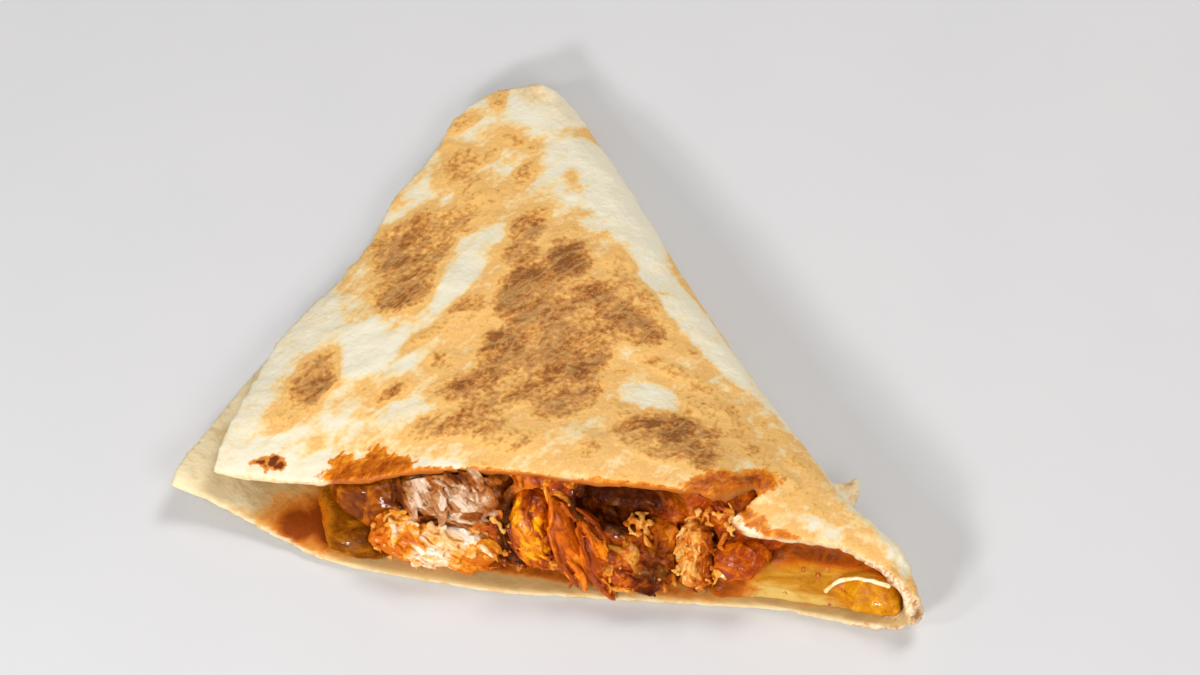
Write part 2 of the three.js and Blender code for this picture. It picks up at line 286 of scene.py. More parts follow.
# %% Browned patches of the upper side
# Each is x, y, half length, half width, turn, strength.
TOAST_TOP = [
    # the tip
    (-17.7, 65.7, 2.4, 1.4, 100, 1), (-24.4, 59.6, 3.4, 1.9, 55, 0.9), (-26.6, 54.5, 1.5, 1.2, 90, 0.4),
    (-22.5, 47.5, 6.8, 4.2, 95, 0.55), (-16.4, 51.6, 2.2, 1.5, 80, 0.6), (-12.6, 55.6, 3.2, 2, -30, 0.7),
    (-9, 54, 1.8, 1.5, 0, 0.7), (-8.4, 46.4, 4.5, 2.2, 80, 0.7), (-12.2, 41.2, 2.2, 1.4, 60, 0.6),
    (0.6, 60.4, 2, 1.6, 0, 0.25), (2.2, 47.8, 2.4, 1.4, 80, 0.3), (4.6, 45.4, 1.8, 1.2, 0, 0.35),
    (-33.6, 38.2, 1.2, 0.8, 80, 0.7), (-18.6, 43, 2.4, 1.6, 70, 0.3),
    # the left side
    (-16.5, 36.5, 6.5, 4.5, 100, 0.3), (-27, 24, 11, 8.6, 75, 0.9), (-26.5, 13.5, 9, 7.4, 85, 0.85),
    (-33.8, 26.5, 5, 3.4, 60, 0.7), (-21.5, 31, 6, 5, 20, 0.6), (-27, 4.6, 5, 2.6, 90, 0.4),
    (-16.8, 28.6, 1.3, 1, 0, 0.8), (-39, -12.6, 9.6, 4.8, 72, 1), (-43, -21.5, 3.6, 2.4, 60, 0.6),
    (-28.4, -15, 2.2, 1.5, 90, 0.6), (-23, -15.4, 4.6, 2.4, 28, 0.8), (-14.6, -7, 3.8, 2.8, 100, 0.75),
    (-35.4, -28, 1.4, 0.9, 60, 0.2), (-12, 24, 3, 2, 60, 0.2),
    # the middle
    (-4.6, 31, 7.6, 4, 80, 0.8), (-4, 22.5, 5.5, 4.5, 60, 0.9), (5, 23.8, 7, 5.4, 110, 1.3),
    (3.4, 32, 3.6, 2.6, 0, 0.25), (16, 25, 4.4, 2.8, 20, 0.35), (-11.6, 7.4, 5, 3.6, 45, 0.8),
    (-17.6, 0.8, 8, 1.4, 47, 0.5), (0, 12, 10.5, 8.6, 95, 1), (11, 12, 10, 8, 20, 0.9),
    (19.5, 17, 7.6, 4.6, -40, 0.75), (21, 8.6, 8.4, 5.6, -20, 0.8), (10, 0, 13, 9, 60, 0.95),
    (-2, -3, 9, 6, 80, 0.85),
    # the front
    (-2, -13.5, 14, 6, 8, 0.75), (11, -12.5, 9.5, 7.5, 60, 0.75), (-13, -25, 5.6, 3.8, 20, 0.7),
    (-4.5, -22.4, 8, 5.6, 25, 0.7), (3.6, -26.5, 7, 4, 0, 0.45), (33, -19, 12, 8, -8, 0.85),
    (26, -14.6, 5, 3.4, 0, 0.5), (41, -23, 6.5, 4.6, -20, 0.7), (37.5, -9, 5, 4, 0, 0.4),
    (44.4, -7.2, 3.6, 2.6, 20, 0.7), (19, -27, 6, 2.6, 0, 0.25), (43, -14, 4, 2.4, -40, 0.45),
    # the streaks beside the fold
    (29.5, 0, 8.4, 2, -14, 0.5), (38, -3.2, 6, 1.7, -28, 0.55), (34, 5.6, 1.9, 1.3, 30, 0.85),
    (46.8, -12, 4.6, 3, -50, 0.5), (51.5, -17.4, 4.6, 2.6, -45, 0.55), (57.6, -21.6, 5, 2.2, -40, 0.45),
    (64, -25.4, 4.4, 1.8, -38, 0.35), (72, -31, 4, 1.6, -36, 0.3), (25, 20, 1.6, 1, 0, 0.35),
    (50, -8, 6, 1.2, -52, 0.25), (58, -15, 5, 1.2, -48, 0.25), (34, -2, 3, 1, -20, 0.4),
    # the crumpled end of the fold
    (84.6, -37.4, 2.4, 1.1, 60, 0.9), (80.4, -35.4, 2.2, 1.1, -30, 0.8), (77, -38, 2.2, 0.9, 0, 0.7),
    (82.6, -39.4, 1.6, 0.8, 0, 0.8), (74, -34.6, 2.4, 0.9, -40, 0.6),
]
WARM = [  # the pan nearly touched
    (14, -3, 44, 31, 100, 1), (-10, 30, 17, 14, 90, 0.7), (-16, 49, 13, 12, 90, 0.75),
    (-27, 19, 20, 14, 80, 0.7), (50, -17, 30, 12, -42, 1), (-39, -13, 14, 9, 72, 0.45),
    (-24, -16, 13, 7, 10, 0.5), (-26, -27, 9, 4, 0, 0.5), (60, -27, 22, 8, -20, 0.9),
    (10, -29, 34, 5, 0, 0.9),
]
PALE = [  # hollows that stayed clear of the pan
    (28.5, -9.6, 7.4, 5.2, -12, 0.9), (-15.2, 16, 12, 3.6, 72, 1), (-10.8, 27.5, 4.5, 2.6, 70, 0.8),
    (8.6, 35.5, 5, 3, 40, 0.8), (-30, -4, 10, 7, 60, 1), (14.4, -22, 5, 4, 40, 0.25),
    (-13.6, 47.4, 2.6, 2.4, 0, 0.5), (31, 16, 22, 4.2, -47, 1), (66, -30, 6, 2.6, -10, 0.5),
    (12, 42, 24, 6, -55, 1), (-8, 66, 9, 6, 0, 1),
]
DEEP = [  # the darkest brown
    (5.5, 22, 5, 3.6, 110, 1), (-3.4, 31, 4, 3, 80, 0.6), (-1, 12, 7, 5, 95, 1),
    (-3.6, -1, 3.4, 4.4, 80, 0.8), (20, 10, 7, 3.6, -20, 0.8), (11, -4, 6, 3.4, 0, 0.6),
    (-28, 9, 4, 4, 0, 0.4), (36, -16, 8, 5, 0, 0.7), (-6, -12, 4, 3, 30, 0.5), (-22.5, 45, 3, 2, 95, 0.4),
]
SCORCHED = [  # one small spot at the left corner
    (-42.6, -33.4, 1.7, 1, 70, 1), (-44.4, -33.8, 1.2, 0.7, 10, 0.8), (-41, -34.4, 1.3, 0.8, 30, 0.8),
]
print(len(TOAST_TOP), "browned patches on top")

# %% [markdown]
# ### From ellipses to a number at each vertex
#
# The ellipses become one field over the surface, as on a map of heights: an island's shore is at 0, inside
# it the field rises to the patch's strength, and outside it falls to -1. The shore matters most, because
# noise added to the field later moves it in and out, and gives the patch the ragged edge that it really has.

# %% Fields over a surface
FULL_BROWN = 1.8  # mm inside its edge a patch is nearly as brown as in its middle
FADE = 5.5  # mm outside its edge a lone patch's field has fallen to -1


def patches(across, up, ellipses):
    """The strongest of some soft ellipses at each place of a plane: from its strength deep inside it to 0
    at its edge, and on down to -1 outside."""
    field = np.full(len(across), -1, np.float32)
    for x, y, length, width, turn, strength in ellipses:
        c, s = math.cos(math.radians(turn)), math.sin(math.radians(turn))
        along = ((across - x) * c + (up - y) * s) / length
        beside = ((up - y) * c - (across - x) * s) / width
        inside = (1 - np.hypot(along, beside)) * math.sqrt(length * width)
        level = np.where(inside > 0, strength * np.tanh(inside / FULL_BROWN), inside / FADE)
        field = np.maximum(field, level)
    return field


def ramp(value, low, high):
    """Rises smoothly from 0 at low to 1 at high."""
    t = np.clip((value - low) / (high - low), 0, 1)
    return t * t * (3 - 2 * t)


# %% [markdown]
# ### Inner faces, outer faces and rims
#
# The same mesh has faces that met the pan, faces that met the filling and the rim between them. A sheet
# through the middle of the folded pocket tells them apart. The normal of an outer face points away from that
# sheet, the normal of an inner face points towards it, and on a rim it lies along it. Near the fold the
# dough goes round the sheet's edge, so there "away" also means away from the wedge.

# %% Tell outside, inside and rim apart
FOLD_CORNER = np.array((88, -40))
FOLD_ANGLE = math.radians(48)  # between the fold and the cut
INWARD = -np.array((math.sin(FOLD_ANGLE), math.cos(FOLD_ANGLE)))  # square to the fold
SHEET_HEIGHT = 4.2  # of the sheet over the table
SHEET_EDGE = 7  # from the fold to the sheet's edge
CURL = {"at": (-64, -37), "height": 8, "reach": 36, "power": 1.7}  # the lifted left corner

at, normal = places(tortilla)
from_curl = np.hypot(at[:, 0] - CURL["at"][0], at[:, 1] - CURL["at"][1])
curl = CURL["height"] * np.maximum(0, 1 - from_curl / CURL["reach"]) ** CURL["power"]
over_sheet = at[:, 2] - curl - SHEET_HEIGHT
from_fold = (at[:, :2] - FOLD_CORNER) @ INWARD
past_edge = -INWARD * np.maximum(0, SHEET_EDGE - from_fold)[:, None]
away = np.concatenate([past_edge, over_sheet[:, None]], 1)
away /= np.linalg.norm(away, axis=1, keepdims=True) + 1e-9
facing = (away * normal).sum(1)
is_top = ramp(over_sheet, -0.5, 1.5)
outer = ramp(facing, 0.1, 0.5)
rim = 1 - ramp(np.abs(facing), 0.45, 0.85)
store(tortilla, "outer", outer)
store(tortilla, "rim", rim)
print("outer faces:", round(float(outer.mean()), 2), "rim:", round(float(rim.mean()), 2))

# %% [markdown]
# ### The underside, and what soaked in
#
# The underside lay on the same pan, and has fewer patches of its own. Any places will do for them, so a
# random generator draws them, and its seed makes it draw the same ones each time. Where the filling leaks at
# the cut, orange oil has run into the dough of the upper side. Inside the pocket the dough is soaked with
# sauce near the cut, and part of the rim has taken some up.

# %% Browned patches of the underside, and where oil and sauce have soaked in
UNDER_PATCHES = 46
UNDER_WARMTH = 0.3  # how warm the underside is between its patches

random.seed(4)
TOAST_UNDER = []
for _ in range(UNDER_PATCHES):
    x, y = random.uniform(-60, 85), random.uniform(-38, 70)
    length = random.uniform(3, 10)
    width = length * random.uniform(0.45, 0.9)
    turn, strength = random.uniform(0, 180), random.uniform(0.4, 0.9)
    TOAST_UNDER.append((x, y, length, width, turn, strength))
OIL = [
    (-26, -35, 6.5, 3, 12, 1), (-20, -34, 6, 3, 0, 1), (-28.5, -32.5, 2.2, 2, 0, 0.7),
    (-22.5, -31.5, 1.8, 2.6, 0, 0.7), (-10, -36, 10, 1.6, 0, 0.6), (8, -35.4, 14, 1.4, 0, 0.5),
    (30, -34, 16, 1.6, 4, 0.6), (46, -28, 8, 2.6, 30, 1), (51.5, -24.5, 5, 2.6, 40, 1),
    (48, -30.5, 3.4, 2, 40, 0.6), (53, -32, 4, 1.6, -30, 0.35), (62, -34.4, 10, 1, -6, 0.5),
]
SOAKED = [
    (-36.5, -40.5, 4.6, 4, 30, 1), (-29, -38, 7, 6, 0, 1), (16, -35, 46, 4.4, 0, 1),
    (68, -33, 12, 4, 0, 0.4), (2, -41, 34, 1.8, 0, 0.4),
]
SAUCED_RIM = [(8, -34, 42, 9, 0, 1), (48, -29, 10, 7, 30, 1)]

# %% [markdown]
# All of it now goes on to the vertices. Far from every patch the browned field stands at cold. Warm dough
# stands a little under 0, where the noise that comes later lifts parts of it over, and pale dough sinks.


# %% Fields of the tortilla
COLD = -0.6
WARM_GAIN = 0.52
PALE_LOSS = 0.7


def top_only(field):
    """Keeps a field on the upper side. On the underside it is -1, far from any patch."""
    return field * is_top - (1 - is_top)


plan = at[:, 0], at[:, 1]
toast = np.where(is_top > 0.5, patches(*plan, TOAST_TOP), patches(*plan, TOAST_UNDER))
warm = np.where(is_top > 0.5, np.clip(patches(*plan, WARM), 0, 1), UNDER_WARMTH)
pale = np.where(is_top > 0.5, np.clip(patches(*plan, PALE), 0, 1), 0)
toast = np.maximum(toast, COLD + WARM_GAIN * warm) - PALE_LOSS * pale
store(tortilla, "toast", toast)
store(tortilla, "deep", ramp(patches(*plan, DEEP), -0.5, 0.6) * is_top)
store(tortilla, "scorched", top_only(patches(*plan, SCORCHED)))
store(tortilla, "oil", top_only(patches(*plan, OIL)))
store(tortilla, "soaked", patches(*plan, SOAKED))
store(tortilla, "sauced_rim", top_only(patches(*plan, SAUCED_RIM)))
print("browned share of the outside:", round(float((toast[outer > 0.5] > 0).mean()), 2))

# %% [markdown]
# ### Blisters, wrinkles and the flat underside
#
# Displace modifiers push the surface along its normals by a cloud texture. The guide that carries the
# texture can be stretched, which turns clouds into wrinkles. Weights keep the relief off the faces that
# lie on the table, and the browned patches stand a little proud. The knife left the rim uneven, and at the
# end of the fold it tore and crumpled the dough, so the rim and that end get relief of their own. Last,
# whatever is still below the table is pressed flat.

# %% Relief of the tortilla
WRINKLES = (0.64, 0.77, 0)  # they run from the cut towards the fold

off_table = ramp(at[:, 2], 0.9, 2.2)
weigh(tortilla, "free", off_table)
weigh(tortilla, "browned", ramp(toast, -0.1, 0.35) * outer * off_table)
weigh(tortilla, "torn_rim", rim * (0.3 + 0.7 * ramp(at[:, 0], 68, 84)))
weigh(tortilla, "crumpled", ramp(at[:, 0], 75, 85) * off_table)
relief(tortilla, depth=1, cell=17, seed=1, group="free")
relief(tortilla, depth=0.7, cell=6, seed=2, group="free")
relief(tortilla, depth=0.5, cell=4.5, seed=3, group="browned", middle=0.25)
relief(tortilla, depth=0.4, cell=(4, 1.8, 3), seed=4, grain=WRINKLES, group="browned")
relief(tortilla, depth=0.22, cell=1.5, seed=5, group="free")
relief(tortilla, depth=1.9, cell=3, seed=12, group="torn_rim")
relief(tortilla, depth=2.2, cell=(4.6, 3.2, 3.2), seed=13, group="crumpled")
relief(tortilla, depth=0.9, cell=1.7, seed=14, group="crumpled")

# %% Press the underside flat
alone(tortilla)
bpy.ops.object.mode_set(mode="EDIT")
bpy.ops.mesh.select_all(action="DESELECT")
shape = bmesh.from_edit_mesh(tortilla.data)
for vertex in shape.verts:
    vertex.select_set(vertex.co.z < 0)
shape.select_flush(True)
bmesh.update_edit_mesh(tortilla.data)
bpy.ops.transform.resize(value=(1, 1, 0), center_override=(0, 0, 0))
bpy.ops.object.mode_set(mode="OBJECT")
finished(tortilla, "toasted_tortilla", "tortilla")

# %% [markdown]
# ## Sums in a material
#
# A material is a graph of nodes, and could be built by hand in the shader editor. Written as code, it reads
# best as the sums that it stands for. So one small class wraps a socket: plus, minus and times on it add
# Math nodes, and one method adds any other kind of node.


# %% Node graphs as expressions
class Wire:
    """An output socket of the node tree that is being built."""

    tree = None

    def __init__(self, socket):
        self.socket = socket

    @classmethod
    def node(cls, kind, settings=None, inputs=None, output=0):
        """Adds a node: its type, then its settings, then the values or links of its sockets."""
        made = cls.tree.nodes.new("ShaderNode" + kind)
        for name, value in (settings or {}).items():
            if name == "stops":
                while len(made.color_ramp.elements) < len(value):
                    made.color_ramp.elements.new(1)
                for element, (position, colour) in zip(made.color_ramp.elements, value):
                    element.position, element.color = position, colour
            else:
                setattr(made, name, value)
        for name, value in (inputs or {}).items():
            if isinstance(value, Wire):
                cls.tree.links.new(value.socket, made.inputs[name])
            else:
                made.inputs[name].default_value = value
        return cls(made.outputs[output]) if made.outputs else None

    def maths(self, operation, *others):
        return Wire.node("Math", {"operation": operation}, dict(enumerate([self, *others])))

    def __add__(self, other):
        return self.maths("ADD", other)

    def __sub__(self, other):
        return self.maths("SUBTRACT", other)

    def __rsub__(self, other):
        return Wire.node("Math", {"operation": "SUBTRACT"}, {0: other, 1: self})

    def __mul__(self, other):
        return self.maths("MULTIPLY", other)

    __radd__ = __add__
    __rmul__ = __mul__


# %% Words for the materials
def linear(level):
    """How much light a screen gives for a level from 0 to 255."""
    return ((level / 255 + 0.055) / 1.055) ** 2.4 if level > 10 else level / 3294.6


def rgb(red, green, blue):
    """A colour as a screen shows it, turned into Blender's linear one."""
    return linear(red), linear(green), linear(blue), 1


def material(name):
    """A new, empty material. The nodes made from here on go into it."""
    made = bpy.data.materials.new(name)
    made.use_nodes = True
    made.node_tree.nodes.clear()
    Wire.tree = made.node_tree
    return made


def here():
    """The place on the surface, in metres in the frame that all pieces share."""
    return Wire.node("TexCoord", output="Object")


def axis(number):
    """One of its three coordinates, in millimetres."""
    return Wire.node("SeparateXYZ", inputs={"Vector": here()}, output=number) * (1 / MM)


def stored(name):
    """A number kept on the vertices."""
    return Wire.node("Attribute", {"attribute_name": name}, output="Fac")


def clouds(cell, detail=3, roughness=0.55, grain=X_AXIS, bend=0.0):
    """Noise around 0.5, in clouds of a size in mm. Bend stirs them into swirls."""
    turn = Vector(grain).rotation_difference(X_AXIS).to_euler()
    turned = Wire.node("Mapping", {"vector_type": "POINT"}, {"Vector": here(), "Rotation": turn})
    clouds_per_metre = [1 / (size * MM) for size in three(cell)]
    scaled = Wire.node("VectorMath", {"operation": "MULTIPLY"}, {0: turned, 1: clouds_per_metre})
    settings = {"Vector": scaled, "Scale": 1, "Detail": detail, "Roughness": roughness, "Distortion": bend}
    return Wire.node("TexNoise", inputs=settings)


def step(value, low, high):
    """Rises smoothly from 0 at low to 1 at high."""
    ends = {"Value": value, "From Min": low, "From Max": high}
    return Wire.node("MapRange", {"interpolation_type": "SMOOTHSTEP"}, ends)


def lines(cell, detail, bend, width, core=0.0):
    """0 on thin lines that wander between the clouds, along the dough's wrinkles, and 1 away from them."""
    noise = clouds(cell, detail, 0.5, WRINKLES, bend)
    return step((noise - 0.5).maths("ABSOLUTE"), core, width)


def mix(first, second, share):
    """The first colour where share is 0, the second where it is 1."""
    return Wire.node("Mix", {"data_type": "RGBA"}, {0: share, 6: first, 7: second}, output=2)


def scale(value, *stops):
    """Runs through colours, each given with the value where it stands."""
    low, high = stops[0][0], stops[-1][0]
    along = Wire.node("MapRange", inputs={"Value": value, "From Min": low, "From Max": high})
    marks = [((at - low) / (high - low), colour) for at, colour in stops]
    return Wire.node("ValToRGB", {"stops": marks}, {"Fac": along})


def surface(colour, roughness, height, depth, **constants):
    """The shader, with height from 0 to 1 as a bump depth mm deep. The other sockets are named with _ for a
    blank. They take plain numbers, apart from the coat's weight, which may vary."""
    bump = Wire.node("Bump", inputs={"Height": height, "Distance": depth * MM, "Strength": 1})
    sockets = {"Base Color": colour, "Roughness": roughness, "Normal": bump}
    sockets.update({name.replace("_", " "): value for name, value in constants.items()})
    shader = Wire.node("BsdfPrincipled", inputs=sockets)
    Wire.node("OutputMaterial", inputs={"Surface": shader})


# %% [markdown]
# ### The toasted tortilla's finish
#
# Raw flour dough is a warm cream. Around each blister it turns straw, then tan, and where it pressed on the
# iron a mottled, leathery brown. The browned level stored on the vertices is roughened by three sizes of
# noise before each colour starts, so that no edge is a clean curve: mottling, larger islands, and specks the
# size of a pore. The brown itself breaks up in the same way, and fine creases and a net of paler veins,
# where the dough didn't touch the iron, run through it.

# %% Tortilla: dough and crust
toasted = material("toasted_tortilla")
drift = clouds(9, 2)
mottle = clouds((6, 2.8, 3.4), 4, 0.6, WRINKLES, 0.5)
islands = clouds((10, 5, 6), 3, 0.6, WRINKLES, 0.6)
specks = clouds(1, 2, 0.5)
veins = lines((4, 1.5, 2.2), detail=2, bend=0.8, width=0.05, core=0.004)
creases = lines((11, 4, 5), detail=1, bend=0.5, width=0.1)
frayed = 1.3 * (mottle - 0.5) + 1.1 * (islands - 0.5) + 0.6 * (specks - 0.5)
level = stored("toast") + 0.3 * (drift - 0.5) + frayed
dough = scale(
    level,
    (-0.8, rgb(236, 228, 204)),
    (-0.5, rgb(236, 222, 188)),
    (-0.28, rgb(241, 208, 148)),
    (-0.1, rgb(238, 188, 116)),
    (0.04, rgb(228, 170, 98)),
)
baked = 0.64 * stored("toast") + 0.16 * stored("deep")
crust = scale(
    0.15 + (mottle - 0.5) + 1.1 * (islands - 0.5) + 1.2 * (specks - 0.5) + baked,
    (0.3, rgb(240, 190, 112)),
    (0.46, rgb(226, 168, 88)),
    (0.6, rgb(206, 142, 70)),
    (0.76, rgb(182, 118, 56)),
    (1, rgb(142, 87, 39)),
)
crust = mix(rgb(236, 188, 118), crust, 0.75 + 0.25 * veins)
crust = mix(rgb(238, 192, 122), crust, 0.72 + 0.28 * creases)
skin = mix(dough, crust, step(level, -0.04, 0.06))

# %% [markdown]
# Three stains go over the skin, each by a mask of its own: the small scorched spot on the left corner with
# an orange ring round it, the oil at the cut, and the sauce on the inner faces. Oil doesn't cover the dough
# but makes it clear and orange, and shiny too, so its mask also lowers the roughness. The inner faces are
# pale at the far left corner and a darker tan past it, which is painted shade under the upper leaf, and the
# pale tan fringe of the sauce stain is partly painted shade too.

# %% Tortilla: scorched, oily and soaked, with painted shade inside
ragged = clouds((2, 1.2, 1.4), 3, 0.6, WRINKLES, 0.6)
spotted = clouds(1.6, 2, 0.5)
scorch = stored("scorched") + 0.9 * (spotted - 0.5)
skin = mix(skin, rgb(214, 132, 48), step(scorch, -0.16, -0.02))
skin = mix(skin, rgb(112, 50, 14), step(scorch, 0, 0.2))
greasy = stored("oil") + 0.8 * (ragged - 0.5) + 0.7 * (spotted - 0.5) + 0.7 * (mottle - 0.5)
oily = step(greasy, -0.16, 0.04)
oil = scale(
    0.6 * stored("oil") + 2 * (ragged - 0.5) + 1.2 * (mottle - 0.5),
    (-0.4, rgb(240, 176, 80)),
    (-0.05, rgb(232, 148, 42)),
    (0.25, rgb(210, 116, 20)),
    (0.6, rgb(178, 86, 8)),
    (1, rgb(126, 52, 4)),
)
skin = mix(skin, oil, oily)
wet = stored("soaked") + 1.1 * (mottle - 0.5) + 0.4 * (specks - 0.5)
# Painted shade: the inner faces stay pale at the far left corner and turn a darker tan past it, as under the
# upper leaf.
shade_past_left_corner = step(drift + 0.03 * axis(0), -1.3, -0.7)
lining_with_shade = mix(rgb(234, 218, 178), rgb(192, 158, 102), shade_past_left_corner)
# The sauce stain, whose pale tan fringe is partly painted shade.
stain = scale(
    wet,
    (-0.9, rgb(212, 176, 112)),
    (-0.4, rgb(212, 148, 70)),
    (0, rgb(198, 110, 28)),
    (0.6, rgb(146, 64, 6)),
)
lining_with_shade = mix(lining_with_shade, stain, step(wet, -1.1, -0.3))
skin = mix(lining_with_shade, skin, stored("outer"))

# %% [markdown]
# The rim never met the pan, so it is pale crumb. Towards the end of the fold it is torn and has browned on
# its high points, and under the leaking filling it is stained. Dough lets a little light in, which a low
# subsurface weight gives.

# %% Tortilla: the rim, and the shader
crumb_colour = mix(rgb(234, 214, 172), rgb(216, 178, 122), step(0.4 * specks + 0.8 * mottle, 0.5, 0.8))
torn = scale(ragged, (0.36, rgb(168, 112, 72)), (0.46, rgb(222, 176, 130)), (0.56, rgb(246, 224, 190)))
edge = mix(crumb_colour, torn, step(axis(0) + 24 * (mottle - 0.5), 66, 78))
edge = mix(edge, rgb(182, 100, 30), step(stored("sauced_rim") + 0.8 * (mottle - 0.5), 0, 0.5))
skin = mix(skin, edge, 0.85 * stored("rim"))
surface(
    skin,
    roughness=0.66 - 0.3 * oily,
    height=0.55 * mottle + 0.45 * specks,
    depth=0.3,
    Subsurface_Weight=0.1,
    Subsurface_Radius=(0.8, 0.45, 0.2),
    Subsurface_Scale=0.0025,
    Specular_IOR_Level=0.16,
)
tortilla.data.materials.append(toasted)
print("tortilla finish:", len(toasted.node_tree.nodes), "nodes")

# %% [markdown]
# ## The cheese
#
# Under the chicken lies a slab of melted cheese that has flowed into the fold and set again. It is smooth,
# faintly translucent and bulges a little at the cut. It is remeshed from its solid, and many rounds of
# smoothing melt its edges away. They would also shrink it, so it is swollen again. Where it shows at the cut
# its face is pushed forward until it is flush with the dough's rim, and where the chicken hangs over it, it
# is set back. Slow waves finish it.

# %% Cheese
SWOLLEN = 0.5  # mm all round
FLUSH = 1.3  # mm forward, where the cheese shows at the cut
SET_BACK = 3  # mm back, where the chicken hangs over it

cheese = copied("cheese", "cheese_melted")
modify(cheese, "SUBSURF", levels=2, render_levels=2)
remeshed(cheese, voxel=0.6, rounds=36)
modify(cheese, "DISPLACE", strength=SWOLLEN * MM, mid_level=0)
at, normal = places(cheese)
at_cut = ramp(-at[:, 1], 30, 37)  # from 0 at 30 mm in front of the middle to 1 at 37 mm
under_filling = ramp(at[:, 0], -21, -13) * (1 - ramp(at[:, 0], 40, 48))
weigh(cheese, "cut_face", at_cut * ramp(-normal[:, 1], 0, 0.6) * (1 - under_filling))
weigh(cheese, "under_filling", at_cut * under_filling)
modify(cheese, "DISPLACE", direction="Y", strength=-FLUSH * MM, mid_level=0, vertex_group="cut_face")
modify(cheese, "DISPLACE", direction="Y", strength=SET_BACK * MM, mid_level=0, vertex_group="under_filling")
relief(cheese, depth=1.4, cell=(9, 9, 6), seed=6)
relief(cheese, depth=0.7, cell=(4, 4, 2), seed=7)
finished(cheese, "melted_cheese", "cheese")

# %% [markdown]
# ### Stains on the cheese
#
# Under the chicken the cheese is stained amber by the sauce, and in the fold it has kept its own yellow. The
# stains, a golden blob at the far end and a creamy stretch low down are ellipses again, this time seen from
# the front. The creamy stretch is partly the cheese's pale yellow and partly a painted highlight, a soft
# sheen. The cheese's top is seen from the front only as a thin strip, so it is first unrolled: the
# further back a place lies on it, the higher up it counts.

# %% Cheese: its stains
FACE = -39  # mm along y, where the cut face of the cheese ends and its top begins
UNROLL = 1.4  # mm up for each mm back
CHEESE_STAINS = [
    (64, 19.5, 13, 3.4, -4, 1), (58, 17, 6, 3, 10, 0.8), (48, 8, 6, 6, 0, 1), (80, 17, 8, 2.4, -20, 0.7),
    (-33, 6, 2, 6, 20, 0.3),
]
GOLDEN_BLOB = [(77, 8, 7, 5, -10, 1)]
# Partly the cheese's own pale yellow, partly a painted highlight: a soft creamy sheen low on the slab.
CREAMY_SHEEN = [(57, 4.4, 8, 2, -6, 1), (70, 4, 5, 1.6, 0, 0.6)]

at, _ = places(cheese)
unrolled = at[:, 0], at[:, 2] + UNROLL * np.maximum(at[:, 1] - FACE, 0)
store(cheese, "stained", patches(*unrolled, CHEESE_STAINS))
store(cheese, "golden", patches(*unrolled, GOLDEN_BLOB))
store(cheese, "creamy", patches(*unrolled, CREAMY_SHEEN))

# %% Cheese material
melted = material("melted_cheese")
veins = clouds((7, 2.4, 2), 4, 0.6, bend=0.6)
blotch = clouds(3, 4, 0.65, bend=0.8)
specks = clouds(0.9, 2, 0.5)
amber = scale(
    veins,
    (0.32, rgb(84, 38, 1)),
    (0.46, rgb(116, 60, 2)),
    (0.58, rgb(142, 80, 5)),
    (0.7, rgb(174, 108, 16)),
)
yellow = scale(veins, (0.34, rgb(160, 98, 14)), (0.5, rgb(184, 122, 28)), (0.66, rgb(206, 150, 52)))
gold = scale(blotch, (0.35, rgb(176, 100, 4)), (0.55, rgb(204, 132, 8)), (0.7, rgb(226, 164, 34)))
smear = scale(
    stored("stained") + 2 * (blotch - 0.5),
    (-0.5, rgb(204, 130, 28)),
    (0, rgb(194, 104, 12)),
    (0.6, rgb(168, 76, 5)),
    (1.2, rgb(110, 38, 2)),
)
body = mix(amber, yellow, step(axis(0) + 8 * (veins - 0.5), 42, 54))
# The creamy stretch: pale cheese with a painted highlight over it.
body = mix(body, rgb(218, 184, 104), 0.8 * step(stored("creamy") + 1.2 * (veins - 0.5), -0.7, 0.7))
body = mix(body, gold, 0.95 * step(stored("golden") + 1.2 * (veins - 0.5), -0.8, 0.4))
body = mix(body, smear, 0.95 * step(stored("stained") + 1.6 * (blotch - 0.5), -0.8, 0.2))
body = mix(body, rgb(120, 40, 2), 0.8 * step(specks, 0.68, 0.74))
surface(
    body,
    roughness=0.16 + 0.2 * specks,
    height=0.7 * veins + 0.3 * blotch,
    depth=0.5,
    Subsurface_Weight=0.4,
    Subsurface_Radius=(1, 0.55, 0.15),
    Subsurface_Scale=0.004,
    Coat_Weight=0.3 * step(blotch, 0.56, 0.66),
    Coat_Roughness=0.05,
    Specular_IOR_Level=0.05,
)
cheese.data.materials.append(melted)
print("cheese finish:", len(melted.node_tree.nodes), "nodes")

# %% [markdown]
# ## Strands, flakes and crumbs
#
# Cooked chicken tears along its grain: a torn face is a sheaf of flakes, each a bundle of fine fibres, and
# the sauce holds short scraps of it. Carving such a face out of a block is slow. It is quicker to model one
# strand, one flake and one crumb, to strew copies of them over a plain body along its grain, and to fuse
# all of it by a voxel remesh.
#
# A strand starts as a six-sided disc, which is extruded step by step. Each step also moves aside for the
# bow, and then the new end is scaled to the girth that it should have there: that of an ellipse a little
# longer than the strand, so that the ends are blunt. A flake is only a wider strand.


# %% Model a strand and a crumb
END_GIRTH = 0.4  # of a strand's end, against its middle


